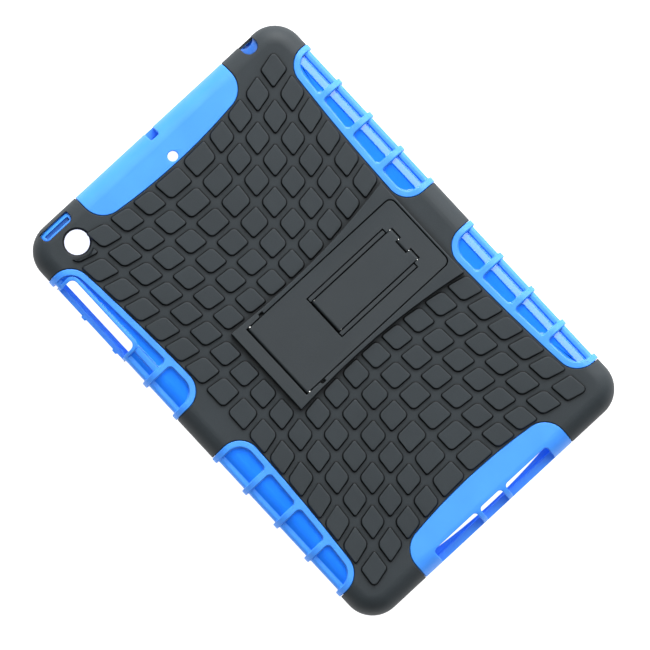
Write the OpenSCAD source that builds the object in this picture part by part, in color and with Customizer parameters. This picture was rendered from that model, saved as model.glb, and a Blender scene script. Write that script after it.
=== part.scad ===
// Rugged tablet case with a folding kickstand.
// A soft sleeve holds the tablet, a hard shell covers its back and corners, and a stand leg with a
// brace strut folds flat into a raised plate on the shell.
// The case lies face down: the front lip is on z = 0 and the back looks up. +Y is the camera end.

/* [Case] */
// Width of the case
case_w = 140.2; // [139:0.2:142]
// Length of the case
case_l = 207; // [206:0.5:210]
// Height of the shell's back above the front lip
back_z = 11.9; // [11.7:0.1:12.3]
// Corner radius seen from the back
corner_r = 12.7; // [12.3:0.1:13.2]
// Radius of the shoulder between the back and the sides
shoulder_r = 8; // [7:0.5:8.5]

/* [Tablet bay] */
// Width of the bay, the tablet's width plus its clearance
bay_w = 135.2; // [134:0.1:135.4]
// Length of the bay
bay_l = 200.5; // [199:0.5:201]
// Depth of the bay, the tablet's thickness plus its clearance
bay_d = 7.7; // [7:0.1:7.8]
// How far the front lip reaches over the tablet's edge
lip_reach = 1.7; // [1:0.1:2.5]
// Thickness of the front lip
lip_t = 1.2; // [1:0.1:1.4]

/* [Back pattern] */
// Distance between the rows of studs
row_pitch = 11.1; // [10.8:0.1:11.2]
// Width of the groove between two studs
stud_gap = 2.76; // [2.2:0.1:3.4]
// Height of the studs above the shell's back
stud_h = 0.9; // [0.4:0.1:1.2]

/* [Kickstand] */
// Height of the raised plate above the shell's back
plate_h = 2.1; // [2:0.1:2.6]
// Distance of the leg's hinge from the case's centre line
leg_hinge_x = 24.2; // [23.5:0.1:24.6]
// Width of the leg
leg_w = 34.6; // [33:0.2:35]
// Thickness of the leg and of the strut
leg_t = 2.3; // [2:0.1:2.4]
// Width of the brace strut
strut_w = 15.8; // [14:0.2:16]
// Diameter of the steel hinge pins
pin_d = 1.4; // [1.2:0.1:1.5]

/* [Hidden] */

// Colours
shell_grey = [0.28, 0.30, 0.31];
sleeve_blue = [0.25, 0.60, 1.0];
pin_steel = [0.78, 0.78, 0.76];

// Outside of the case
half_w = case_w / 2;
half_l = case_l / 2;
far = half_l + 12;
lip_edge_r = 0.7;

// Hard shell
shell_wall = 1.25;
shell_back_t = 1.5;
shell_rim_z = 0.8;
shell_inner_z = back_z - shell_back_t;
fit_gap = 0.1;
zone_gap = 0.12;
sunk = 0.3;
cut_overlap = 0.01;

// Soft sleeve
lip_bead_z = 2.9;
sleeve_half_w = half_w - shell_wall - fit_gap;
sleeve_half_l = half_l - shell_wall - fit_gap;
sleeve_r = corner_r - shell_wall - fit_gap;
sleeve_back_z = shell_inner_z - fit_gap;
sleeve_shoulder_r = shoulder_r - shell_wall;
bay_top_z = lip_t + bay_d;
bay_r = 10;
sleeve_skin = 1.35;
bay_edge_r = sleeve_shoulder_r - sleeve_skin;
rib_flush = 0.05;
rib_proud = 0.4;

// The lip is wider across the low end, where its edge bows outward at mid-width
low_lip_reach = lip_reach + 1.2;
low_lip_bow = 1.95;
low_lip_span = 31;
low_lip_steps = 12;

// Bead along the foot of the sleeve's side in the windows
side_bead_z = 8.6;
side_bead_out = 0.45;
side_bead_r = 1.7;

// The grid lines across the back bow outward and upward from the centre of the case
column_pitch = 10.95;
column_shift = -0.35;
bow_x = 3.95;
bow_x_at = 86;
bow_y = 4.95;
bow_y_growth = 0.14;
bow_y_at = 52;
first_row_y = 19.2;
row_count = 8;
column_count = 5;
plate_rows = 2;
plate_left_column = 3;
stud_sharp_r = 1.05;
stud_round_r = 1.95;
corner_pull = 0.55;
stud_margin = 0.8;

// Windows in the long sides of the shell, and the sleeve's ribs in them
window_x = 54.3;
window_bow = 4;
window_y0 = 10.3;
window_y1 = 86;
window_r = 9.3;
window_far_r = 9.7;
rim_t = 2.7;
rib_t = 2.4;
rib_ys = [29.3, 47.6, 65.8];
window_steps = 6;

// Blue bumpers across the two short ends
bumper_half_w = 40;
bumper_r = 10;
bumper_y = 85.6;
bumper_sag = 1.8;
bumper_steps = 6;

// Holes and slots
camera_xy = [-51.5, 89.45];
camera_d = 10.2;
camera_rim_d = 11.5;
camera_rim_h = 0.8;
camera_clear_d = 14.4;
crescent_side = 9.2;
crescent_drop = 4.2;
mic_xy = [0, 88.8];
mic_d = 4.3;
mic_notch_w = 4.5;
mic_notch_y = 99.1;
mic_sill_z = 1.3;
power_x = [-60.9, -46.2];
power_y = [97.3, 101.8];
power_key_drop = 1.1;
power_groove_x = [-59.6, -47.5];
power_groove_y = [98.2, 99.8];
power_groove_z = 8.4;
power_groove_r = 0.4;
jack_x = [49, 55.9];
jack_y = 97.2;
jack_sill_z = 1.5;
jack_hole_d = 6.4;
jack_hole_z = 4.9;
volume_x = -62.5;
volume_y = [43.4, 80.1];
volume_frame = 1.4;
volume_frame_drop = 0.35;
port_y = -97.7;
port_xs = [[-30.8, -7.9], [-5.9, 5.7], [7.8, 30.6]];
sill_z = 3;
nub_ys = [47.6, 65.8];
nub_w = 2.2;
nub_z = [0.6, sill_z];
nub_root = 2;
slot_r = 1.5;

// Kickstand plate
plate_x0 = -31.2;
plate_x1 = 53.6;
plate_half_y = 19.5;
plate_flare_right = 4.9;
plate_flare_left = 3.2;
plate_steps = 12;
plate_z = back_z + plate_h;

// Leg, strut and pins
leg_x = -leg_hinge_x;
leg_tip_x = 52.3;
leg_corner_r = 2.5;
leg_gap = 0.45;
leg_flush = 0.05;
recess_gap = 0.25;
leg_z = plate_z - leg_t - leg_flush;
axis_z = leg_z + leg_t / 2;
recess_z = leg_z - recess_gap;
leg_window_x = [0.1, 41.7];
leg_window_w = 21;
strut_x = 43.2;
strut_foot_x = 1.95;
knuckle_w = 5.8;
knuckle_gap = 0.25;
knuckle_clear = 0.3;
running_gap = 0.05;
rail_gap = 0.45;
rail_w = 1.75;
rail_drop = 0.3;
well_floor_z = shell_inner_z + 0.25;
well_floor_t = 1;
well_rim = 1.2;
notch_x = [-18.3, -16.2];
notch_d = 1.1;
leg_pin_len = 4.9;
leg_pin_y = 14.5;
strut_pin_len = 19;
foot_pin_d = 1.2;
foot_pin_len = strut_w + 0.4;

round_steps = 6;

function arc(cx, cy, r, a0, a1, steps = round_steps) =
    [for (i = [0:steps]) let (a = a0 + (a1 - a0) * i / steps) [cx + r * cos(a), cy + r * sin(a)]];

// Section of a rounded slab, from its corner axis outward
function slab_section(r, z0, z1, foot_r, top_r) =
    concat([[0, z0]], arc(r - foot_r, z0 + foot_r, foot_r, -90, 0, 3),
           arc(r - top_r, z1 - top_r, top_r, 0, 90), [[0, z1]]);

module slab_side(reach, span, section) {
    translate([reach, 0, 0]) rotate([90, 0, 0]) linear_extrude(span, center = true) polygon(section);
}

// A box with round corners in plan and a rounded edge at its top and at its foot
module rounded_slab(hw, hl, r, z0, z1, foot_r, top_r) {
    section = slab_section(r, z0, z1, foot_r, top_r);
    union() {
        for (turn = [0, 180]) rotate([0, 0, turn]) {
            translate([hw - r, hl - r, 0]) rotate_extrude(angle = 90) polygon(section);
            translate([r - hw, hl - r, 0]) rotate([0, 0, 90]) rotate_extrude(angle = 90) polygon(section);
            slab_side(hw - r, 2 * (hl - r), section);
            rotate([0, 0, 90]) slab_side(hl - r, 2 * (hw - r), section);
        }
        translate([r - hw, r - hl, z0]) cube([2 * (hw - r), 2 * (hl - r), z1 - z0]);
    }
}

module outer_slab(z0, drop = 0) {
    rounded_slab(half_w - drop, half_l - drop, corner_r - drop, z0, back_z - drop,
                 lip_edge_r, shoulder_r - drop);
}

// An upright prism over the rectangle x0..x1, y0..y1 with round corners
module slot_prism(x, y, z0, r = slot_r) {
    outline = concat(arc(x[1] - r, y[0] + r, r, -90, 0, 3), arc(x[1] - r, y[1] - r, r, 0, 90, 3),
                     arc(x[0] + r, y[1] - r, r, 90, 180, 3), arc(x[0] + r, y[0] + r, r, 180, 270, 3));
    translate([0, 0, z0]) linear_extrude(back_z + 5) polygon(outline);
}

// Long-side windows: the inner edge follows the bowed grid
function window_edge(y) = window_x + window_bow * pow(y / bow_x_at, 2);

// inset moves the window's ends and its inner edge inward, grow moves the whole outline outward
module side_window(grow, inset = 0) {
    y0 = window_y0 + inset;
    y1 = window_y1 - inset;
    r0 = window_r - inset;
    r1 = window_far_r - inset;
    low = [window_edge(y0 + r0) + inset + r0, y0 + r0];
    high = [window_edge(y1 - r1) + inset + r1, y1 - r1];
    edge = [for (i = [1:window_steps - 1]) let (y = low[1] + (high[1] - low[1]) * i / window_steps)
            [window_edge(y) + inset - grow, y]];
    outline = concat([[far, y0 - grow]], arc(low[0], low[1], r0 + grow, 270, 180), edge,
                     arc(high[0], high[1], r1 + grow, 180, 90), [[far, y1 + grow]]);
    translate([0, 0, -1]) linear_extrude(back_z + 5) polygon(outline);
}

// Repeats a shape in the four quarters of the back
module each_quadrant() {
    for (sx = [0, 1], sy = [0, 1]) mirror([sx, 0, 0]) mirror([0, sy, 0]) children();
}

module end_bumper(grow) {
    side_y = bumper_y + bumper_sag + bumper_r;
    flat = bumper_half_w - bumper_r;
    sag = [for (i = [1:bumper_steps - 1]) let (x = flat * (1 - 2 * i / bumper_steps))
           [x, bumper_y - grow + bumper_sag * pow(x / flat, 2)]];
    outline = concat([[bumper_half_w + grow, far]], arc(flat, side_y, bumper_r + grow, 0, -90), sag,
                     arc(-flat, side_y, bumper_r + grow, 270, 180), [[-bumper_half_w - grow, far]]);
    translate([0, 0, -1]) linear_extrude(back_z + 5) polygon(outline);
}

// Studs between the bowed grid lines
function column_x(j, y) = j == 0 ? 0
    : j == column_count ? window_edge(y) - stud_margin + stud_gap / 2
    : column_pitch * j + column_shift + bow_x * pow(y / bow_x_at, 2);
function row_rise(above, x) = (bow_y + bow_y_growth * above) * pow(x / bow_y_at, 2);
function row_y(n, x) = let (above = max(0, n - plate_rows))
    (first_row_y + row_rise(above, x)) * min(1, n / plate_rows) + above * row_pitch;
function grid_point(j, n) = let (x = column_x(j, row_y(n, column_pitch * j))) [x, row_y(n, x)];

// A corner rounded between its neighbours a and b
function soft_corner(p, a, b, r) =
    let (pa = p + (a - p) * r / norm(a - p), pb = p + (b - p) * r / norm(b - p),
         ca = pa + (p - pa) * corner_pull, cb = pb + (p - pb) * corner_pull)
    [for (i = [0:3]) let (t = i / 3, u = 1 - t)
     pa * u * u * u + ca * 3 * t * u * u + cb * 3 * t * t * u + pb * t * t * t];

function stud_outline(j, n) =
    let (g = stud_gap / 2,
         a = grid_point(j, n) + [g, g], b = grid_point(j + 1, n) + [-g, g],
         c = grid_point(j + 1, n + 1) + [-g, -g], d = grid_point(j, n + 1) + [g, -g])
    concat(soft_corner(a, d, b, stud_sharp_r), soft_corner(b, a, c, stud_round_r),
           soft_corner(c, b, d, stud_sharp_r), soft_corner(d, c, a, stud_round_r));

module stud(j, n) {
    translate([0, 0, back_z - sunk]) linear_extrude(stud_h + sunk) polygon(stud_outline(j, n));
}

module studs() {
    each_quadrant() for (n = [plate_rows:row_count - 1], j = [0:column_count - 1]) stud(j, n);
    for (sy = [0, 1]) mirror([0, sy, 0]) mirror([1, 0, 0])
        for (n = [0:plate_rows - 1], j = [plate_left_column:column_count - 1]) stud(j, n);
}

// Edge of the front opening
module mouth() {
    hw = bay_w / 2 - lip_reach;
    top = bay_l / 2 - lip_reach;
    low = low_lip_reach - bay_l / 2;
    r = bay_r - lip_reach;
    bow = [for (i = [0:low_lip_steps]) let (k = 2 * i / low_lip_steps - 1)
           [low_lip_span * k, low - low_lip_bow * (1 - k * k)]];
    outline = concat(bow, arc(hw - r, low + r, r, -90, 0), arc(hw - r, top - r, r, 0, 90),
                     arc(r - hw, top - r, r, 90, 180), arc(r - hw, low + r, r, 180, 270));
    translate([0, 0, -1]) linear_extrude(lip_t + 2) polygon(outline);
}

// Raised plate that the kickstand folds into; its long edges flare outward
function plate_edge(x) =
    plate_half_y + (x > 0 ? plate_flare_right : plate_flare_left) * pow(x / plate_x1, 2);

module plate() {
    edge = [for (i = [0:plate_steps]) let (x = plate_x0 + (plate_x1 - plate_x0) * i / plate_steps)
            [x, plate_edge(x)]];
    other = [for (i = [plate_steps:-1:0]) [edge[i][0], -edge[i][1]]];
    translate([0, 0, back_z - sunk]) linear_extrude(plate_h + sunk) polygon(concat(edge, other));
}

// Outline of the leg in plan, grown by grow on every side
module leg_outline(x0, grow, z0, h) {
    x1 = leg_tip_x + grow;
    hw = leg_w / 2 + grow;
    r = leg_corner_r + grow;
    outline = concat([[x0, -hw]], arc(x1 - r, r - hw, r, -90, 0),
                     arc(x1 - r, hw - r, r, 0, 90), [[x0, hw]]);
    translate([0, 0, z0]) linear_extrude(h) polygon(outline);
}

// A link seen from the side, lying along X, with a round end at each given place
module link(x0, x1, width, round_x0, round_x1) {
    r = leg_t / 2;
    left = round_x0 ? arc(x0, axis_z, r, 90, 270, 8) : [[x0, axis_z + r], [x0, axis_z - r]];
    right = round_x1 ? arc(x1, axis_z, r, -90, 90, 8) : [[x1, axis_z - r], [x1, axis_z + r]];
    rotate([90, 0, 0]) linear_extrude(width, center = true) polygon(concat(left, right));
}

module cross_pin(x, d, length, y = 0) {
    translate([x, y, axis_z]) rotate([90, 0, 0]) cylinder(d = d, h = length, center = true, $fn = 32);
}

module block(x, y, z) {
    translate([x[0], y[0], z[0]]) cube([x[1] - x[0], y[1] - y[0], z[1] - z[0]]);
}

module strut_rails() {
    rail_x = [leg_window_x[0] + rail_gap, leg_window_x[1] - rail_gap];
    rail_y = strut_w / 2 + rail_gap;
    for (sy = [0, 1]) mirror([0, sy, 0])
        block(rail_x, [rail_y, rail_y + rail_w], [recess_z - sunk, plate_z - rail_drop]);
}

module stand_recess() {
    leg_outline(leg_x - leg_t / 2 - leg_gap, leg_gap, recess_z, far);
    for (sy = [0, 1]) mirror([0, sy, 0])
        block(notch_x, [leg_w / 2 - 0.5, leg_w / 2 + leg_gap + notch_d], [recess_z, far]);
}

// The well under the strut, and the shell's floor below it
module strut_well(z0, z1, grow) {
    y = strut_w / 2 + rail_gap + grow;
    block([leg_window_x[0] - grow, leg_window_x[1] + grow], [-y, y], [z0, z1]);
}

module camera_hole() {
    translate([camera_xy[0], camera_xy[1], 0]) {
        cylinder(d = camera_d, h = far, $fn = 48);
        translate([0, 0, back_z - camera_rim_h])
            cylinder(d1 = camera_d, d2 = camera_rim_d, h = camera_rim_h + cut_overlap, $fn = 48);
        translate([0, 0, back_z]) cylinder(d = camera_rim_d, h = far, $fn = 48);
    }
}

// No studs round the camera hole; the stud under it is left as a crescent
module camera_clearance() {
    r = camera_clear_d / 2;
    translate([camera_xy[0], camera_xy[1], 0]) {
        cylinder(r = r, h = far, $fn = 48);
        block([-crescent_side, 0], [-crescent_drop, r], [0, far]);
    }
}

module hard_shell() {
    color(shell_grey) union() {
        difference() {
            union() {
                outer_slab(shell_rim_z);
                difference() {
                    studs();
                    camera_clearance();
                }
                plate();
            }
            rounded_slab(half_w - shell_wall, half_l - shell_wall, corner_r - shell_wall,
                         -2, shell_inner_z, lip_edge_r, shoulder_r - shell_wall);
            each_quadrant() side_window(0);
            for (sy = [0, 1]) mirror([0, sy, 0]) end_bumper(0);
            camera_hole();
            slot_prism(power_x, power_y, bay_top_z - 3);
            slot_prism(jack_x, [jack_y, far], jack_sill_z, 2.5);
            stand_recess();
            strut_well(well_floor_z, far, 0);
            for (side = [-1, 1]) cross_pin(leg_x, pin_d, leg_pin_len, side * (leg_pin_y + leg_pin_len / 2));
        }
        strut_rails();
        strut_well(well_floor_z - well_floor_t, well_floor_z, well_rim);
    }
}

module window_ribs(ribs) {
    difference() {
        side_window(-zone_gap);
        difference() {
            side_window(0, rim_t);
            for (y = ribs) block([0, far], [y - rib_t / 2, y + rib_t / 2], [-2, far]);
        }
    }
}

module side_beads() {
    intersection() {
        rounded_slab(sleeve_half_w + side_bead_out, sleeve_half_l + side_bead_out, sleeve_r + side_bead_out,
                     0, side_bead_z, lip_edge_r, side_bead_r);
        each_quadrant() side_window(-zone_gap);
    }
}

module rubber_sleeve() {
    key_gap = 0.15;
    color(sleeve_blue) difference() {
        union() {
            rounded_slab(sleeve_half_w, sleeve_half_l, sleeve_r, 0, sleeve_back_z,
                         lip_edge_r, sleeve_shoulder_r);
            intersection() {
                outer_slab(0, rib_flush);
                for (sy = [0, 1]) mirror([0, sy, 0]) end_bumper(-zone_gap);
            }
            intersection() {
                rounded_slab(half_w + rib_proud, half_l, corner_r, 0, back_z - rib_flush,
                             lip_edge_r, shoulder_r);
                union() {
                    mirror([0, 1, 0]) window_ribs(rib_ys);
                    mirror([1, 0, 0]) mirror([0, 1, 0]) window_ribs(rib_ys);
                    window_ribs(rib_ys);
                    mirror([1, 0, 0]) window_ribs([rib_ys[0]]);
                }
            }
            side_beads();
            for (y = nub_ys)
                block([rib_flush - half_w - rib_proud, nub_root - sleeve_half_w],
                      [y - nub_w / 2, y + nub_w / 2], nub_z);
            rounded_slab(sleeve_half_w, sleeve_half_l, sleeve_r, 0, lip_bead_z, lip_edge_r, lip_edge_r);
            intersection() {
                outer_slab(0, power_key_drop);
                slot_prism([power_x[0] + key_gap, power_x[1] - key_gap],
                           [power_y[0] + key_gap, power_y[1] - key_gap], bay_top_z - 2);
            }
            intersection() {
                outer_slab(0, volume_frame_drop);
                slot_prism([-far, volume_x + volume_frame],
                           [volume_y[0] - volume_frame, volume_y[1] + volume_frame], 0);
            }
        }
        rounded_slab(bay_w / 2, bay_l / 2, bay_r, lip_t, bay_top_z, lip_edge_r, bay_edge_r);
        mouth();
        strut_well(well_floor_z - well_floor_t - fit_gap, far, well_rim + fit_gap);
        translate([camera_xy[0], camera_xy[1], 0]) cylinder(d = camera_d, h = far, $fn = 48);
        translate([mic_xy[0], mic_xy[1], 0]) cylinder(d = mic_d, h = far, $fn = 32);
        slot_prism([-mic_notch_w / 2, mic_notch_w / 2], [mic_notch_y, far], mic_sill_z);
        slot_prism(power_groove_x, power_groove_y, power_groove_z, power_groove_r);
        translate([(jack_x[0] + jack_x[1]) / 2, far, jack_hole_z]) rotate([90, 0, 0])
            cylinder(d = jack_hole_d, h = far - bay_l / 2 + bay_edge_r, $fn = 48);
        slot_prism([-far, volume_x], volume_y, sill_z);
        for (x = port_xs) slot_prism(x, [-far, port_y], sill_z);
    }
}

module kickstand_leg() {
    pocket_x1 = strut_x + leg_t / 2 + knuckle_clear;
    pocket_y = strut_w / 2 + knuckle_gap;
    color(shell_grey) difference() {
        union() {
            difference() {
                intersection() {
                    link(leg_x, leg_tip_x, leg_w, true, false);
                    leg_outline(leg_x - leg_t, 0, leg_z - 1, leg_t + 2);
                }
                block(leg_window_x, [-leg_window_w / 2, leg_window_w / 2], [0, far]);
                block([leg_window_x[0], pocket_x1], [-pocket_y, pocket_y], [0, far]);
            }
            link(strut_x, pocket_x1 + 1, knuckle_w, true, false);
        }
        for (side = [-1, 1])
            cross_pin(leg_x, pin_d + 2 * running_gap, leg_pin_len,
                      side * (leg_pin_y - fit_gap + leg_pin_len / 2));
        cross_pin(strut_x, pin_d, strut_pin_len);
    }
}

module brace_strut() {
    notch_half = knuckle_w / 2 + knuckle_gap;
    color(shell_grey) difference() {
        link(strut_foot_x, strut_x, strut_w, true, true);
        block([strut_x - leg_t / 2 - knuckle_clear, far], [-notch_half, notch_half], [0, far]);
        cross_pin(strut_x, pin_d + 2 * running_gap, far);
        cross_pin(strut_foot_x, foot_pin_d, far);
    }
}

module leg_pin(side) {
    color(pin_steel) cross_pin(leg_x, pin_d, leg_pin_len, side * (leg_pin_y + leg_pin_len / 2));
}

module strut_hinge_pin() {
    color(pin_steel) cross_pin(strut_x, pin_d, strut_pin_len);
}

module strut_foot_pin() {
    color(pin_steel) cross_pin(strut_foot_x, foot_pin_d, foot_pin_len);
}

rubber_sleeve();
hard_shell();
kickstand_leg();
brace_strut();
leg_pin(1);  // leg_pin_upper
leg_pin(-1);  // leg_pin_lower
strut_hinge_pin();
strut_foot_pin();
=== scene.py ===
import math

import bmesh
import bpy
from mathutils import Matrix, Vector


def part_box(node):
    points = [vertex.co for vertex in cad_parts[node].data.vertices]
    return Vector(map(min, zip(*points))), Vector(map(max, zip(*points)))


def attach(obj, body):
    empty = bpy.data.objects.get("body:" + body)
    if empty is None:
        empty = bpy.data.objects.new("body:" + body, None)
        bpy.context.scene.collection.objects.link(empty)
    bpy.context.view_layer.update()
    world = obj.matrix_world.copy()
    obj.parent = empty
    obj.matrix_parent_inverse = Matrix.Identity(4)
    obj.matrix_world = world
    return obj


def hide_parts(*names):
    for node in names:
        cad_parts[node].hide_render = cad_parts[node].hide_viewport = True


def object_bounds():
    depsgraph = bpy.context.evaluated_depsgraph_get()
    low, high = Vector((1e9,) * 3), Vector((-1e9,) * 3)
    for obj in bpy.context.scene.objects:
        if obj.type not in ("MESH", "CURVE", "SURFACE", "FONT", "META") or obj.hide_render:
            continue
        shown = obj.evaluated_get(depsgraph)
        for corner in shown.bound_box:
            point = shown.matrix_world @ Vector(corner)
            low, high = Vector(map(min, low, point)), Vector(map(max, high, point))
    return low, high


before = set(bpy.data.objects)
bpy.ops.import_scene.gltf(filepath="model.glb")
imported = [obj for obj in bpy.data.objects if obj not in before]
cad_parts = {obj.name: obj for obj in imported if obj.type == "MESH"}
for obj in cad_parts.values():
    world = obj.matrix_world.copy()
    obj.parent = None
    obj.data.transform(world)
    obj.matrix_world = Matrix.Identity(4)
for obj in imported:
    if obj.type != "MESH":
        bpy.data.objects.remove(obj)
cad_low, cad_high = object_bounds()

MM = 0.001

# ---------------------------------------------------------------- sizes, in millimetres
# Outline, back and raised plate's height
HALF_W, HALF_L, PLATE_Z = (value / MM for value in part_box("hard_shell")[1])
PLATE_H = 2.1
BACK_Z = PLATE_Z - PLATE_H
CORNER_R = 12.7
SHOULDER_R = 8.0
FOOT_R = 0.7
FAR = HALF_L + 12  # beyond everything, where a cut ends
BELOW = -1  # under everything, where a cut through the front starts
THROUGH_Z = 5  # inside the bay, where a cut through the back starts
SUNK = 0.4  # how far an added block reaches into the solid under it

# Walls of the shell, and its gap to the sleeve
SHELL_WALL = 1.25
SHELL_BACK_T = 1.5
SHELL_RIM_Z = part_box("hard_shell")[0].z / MM
FIT_GAP = 0.1
ZONE_GAP = 0.26

# Front lip, bay, and the sleeve's core with a bead round its foot and one in each window
LIP_T = 1.2
LIP_REACH = 1.7
LOW_LIP_REACH, LOW_LIP_BOW, LOW_LIP_SPAN = 2.9, 1.95, 31.0
BAY_HALF_W = 67.6
BAY_HALF_L = 100.25
BAY_TOP_Z = 8.9
BAY_R = 10.0
BAY_EDGE_R = 5.4
CORE_DROP = SHELL_WALL + FIT_GAP
POCKET_WALL_IN = 0.6
CORE_FOOT_Z = 0.2
SLEEVE_FLUSH = 0.05
LIP_BEAD_Z, LIP_BEAD_R = 2.9, 0.9
SIDE_BEAD_Z, SIDE_BEAD_OUT, SIDE_BEAD_R = 8.6, 0.45, 1.7
RIB_PROUD = 0.4
# Steps in the pockets' floors, the creases beside them, and the ledge beside the volume opening
FLOOR_X, FLOOR_DROP, FLOOR_R, FLOOR_IN = 62.5, 0.25, 1.5, 0.2
CREASE_X, CREASE_Z = (65.6, 66.4), 8.1
LEDGE_X, LEDGE_DROP, LEDGE_SUNK = (-64.3, -61.6), 1.4, 0.2
POCKET_PAINT_IN = 0.35  # how far inside a pocket's edge the polish starts
END_STRIP = 0.7  # the strip at each end of a pocket or port that is shaded on its own

# Studs and the grid lines that bow outward between them
PITCH = 11.1
COLUMN_PITCH, COLUMN_SHIFT = 10.95, -0.35
STUD_GAP = 2.76
STUD_H = 0.9
BOW_X, BOW_X_AT = 3.95, 86.0
BOW_Y, BOW_Y_AT, BOW_Y_GROWTH = 4.95, 52.0, 0.14
FIRST_ROW_Y = 19.2
ROWS, COLUMNS = 8, 5
PLATE_ROWS, PLATE_LEFT_COLUMN = 2, 3
STUD_SHARP_R, STUD_ROUND_R = 1.05, 1.95
STUD_SHARP_R_MIN, STUD_ROUND_R_MIN = 0.7, 1.2
CORNER_STUD_LIFT, CORNER_STUD_R = (1.0, 0.25, 0.4, 0.8), 2.6

# Windows in the long sides, with their rims, ribs and nubs
WINDOW_X, WINDOW_BOW = 54.3, 4.0
STUD_MARGIN = 0.8
WINDOW_Y = (10.3, 86.0)
WINDOW_R, WINDOW_FAR_R = 9.3, 9.7
RIM_T, RIB_T = 2.7, 2.4
RIB_YS = (29.3, 47.6, 65.8)
POCKET_R = 1.8
NUB_YS = RIB_YS[1:]
NUB_INNER, NUB_OUTER, NUB_HALF_W, NUB_Z = 2.4, 0.05, 1.1, 0.6

# Bumpers at the short ends
BUMPER_HALF_W = 40.0
BUMPER_R = 10.0
BUMPER_Y, BUMPER_SAG = 85.6, 1.8

# Camera hole, microphone, power key, headphone slot, volume opening and ports
CAMERA_XY, CAMERA_D, CAMERA_CLEAR_D = (-51.5, 89.45), 10.2, 14.4
CAMERA_RIM_D, CAMERA_RIM_H, CAMERA_RIM_TAPER = 11.5, 0.8, 0.1
CAMERA_HOLE_PLAY = 0.3
CRESCENT_DROP = 4.2
MIC_XY, MIC_D = (0.0, 88.8), 4.3
MIC_NOTCH_X, MIC_NOTCH_Y, MIC_NOTCH_R, MIC_SILL_Z = (-2.25, 2.25), 99.1, 1.0, 1.3
POWER_X, POWER_Y, POWER_Z, POWER_DROP = (-60.9, -46.2), (97.3, 101.8), 4, 1.1
POWER_INNER_R, POWER_OUTER_R = 2.1, 0.6
POWER_GROOVE_X, POWER_GROOVE_Y, POWER_GROOVE_Z, POWER_GROOVE_R = (-59.6, -47.5), (98.2, 99.8), 8.4, 0.4
JACK_X, JACK_Y, JACK_SILL_Z, JACK_R = (49.0, 55.9), 97.2, 1.5, 3.2
JACK_PAD_H, JACK_HOLE_D, JACK_HOLE_Z = 0.08, 6.4, 4.9
VOLUME_X, VOLUME_Y, VOLUME_R = -62.5, (43.4, 80.1), 2.4
VOLUME_FRAME, VOLUME_FRAME_DROP, VOLUME_FRAME_R = 1.4, 0.35, 3.4
PORT_Y, PORT_R, SILL_Z = -97.7, 1.5, 3.0
PORT_XS = ((-30.8, -7.9), (-5.9, 5.7), (7.8, 30.6))

# Raised plate
PLATE_X = (-31.2, 53.6)
PLATE_HALF_Y, FLARE_RIGHT, FLARE_LEFT = 19.5, 4.9, 3.2

# Leg, strut, the well under the strut, and the hinges
LEG_T, LEG_W = 2.3, 34.6
LEG_X, LEG_TIP_X = -24.2, 52.3
LEG_CORNER_R, LEG_GAP = 2.5, 0.45
LEG_FLUSH, RECESS_GAP = 0.05, 0.25
LEG_Z = PLATE_Z - LEG_T - LEG_FLUSH
AXIS_Z = LEG_Z + LEG_T / 2
RECESS_Z = LEG_Z - RECESS_GAP
LEG_WINDOW_X, LEG_WINDOW_W = (0.1, 41.7), 21.0
STRUT_X, STRUT_FOOT_X, STRUT_W = 43.2, 1.95, 15.8
KNUCKLE_W, KNUCKLE_GAP, KNUCKLE_CLEAR = 5.8, 0.25, 0.3
RAIL_GAP, RAIL_W, RAIL_DROP = 0.45, 1.75, 0.3
WELL_FLOOR_Z, WELL_FLOOR_T, WELL_FLOOR_EXTRA, WELL_RIM = 10.65, 1.0, 0.3, 1.2
NOTCH_X, NOTCH_D = (-18.3, -16.2), 1.1
PIN_D, BORE_PLAY = 1.4, 0.1
LEG_BORE_Y = 14.4

# Rounding of sharp edges
SHELL_EDGE_R, SLEEVE_EDGE_R, STAND_EDGE_R, PIN_EDGE_R = 0.28, 0.32, 0.16, 0.15


# ---------------------------------------------------------------- outlines
def arc(cx, cy, r, start, end, steps=8):
    """Points on a circle between two angles in degrees."""
    angles = [math.radians(start + (end - start) * i / steps) for i in range(steps + 1)]
    return [(cx + r * math.cos(a), cy + r * math.sin(a)) for a in angles]


def rounded_rect(x0, x1, y0, y1, r, steps=6):
    return (arc(x1 - r, y0 + r, r, -90, 0, steps) + arc(x1 - r, y1 - r, r, 0, 90, steps)
            + arc(x0 + r, y1 - r, r, 90, 180, steps) + arc(x0 + r, y0 + r, r, 180, 270, steps))


def window_edge(y):
    """x of a window's inner edge, which bows outward like the grid."""
    return WINDOW_X + WINDOW_BOW * (y / BOW_X_AT) ** 2


def window_outline(y0, y1, grow=0.0, r0=WINDOW_R, r1=WINDOW_FAR_R, inset=0.0, steps=10):
    """A long-side window from y0 to y1: round inner corners, an inner edge along the bowed grid."""
    low = (window_edge(y0 + r0) + inset + r0, y0 + r0)
    high = (window_edge(y1 - r1) + inset + r1, y1 - r1)
    ys = [low[1] + (high[1] - low[1]) * i / steps for i in range(1, steps)]
    edge = [(window_edge(y) + inset - grow, y) for y in ys]
    return ([(FAR, y0 - grow)] + arc(*low, r0 + grow, 270, 180) + edge
            + arc(*high, r1 + grow, 180, 90) + [(FAR, y1 + grow)])


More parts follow.
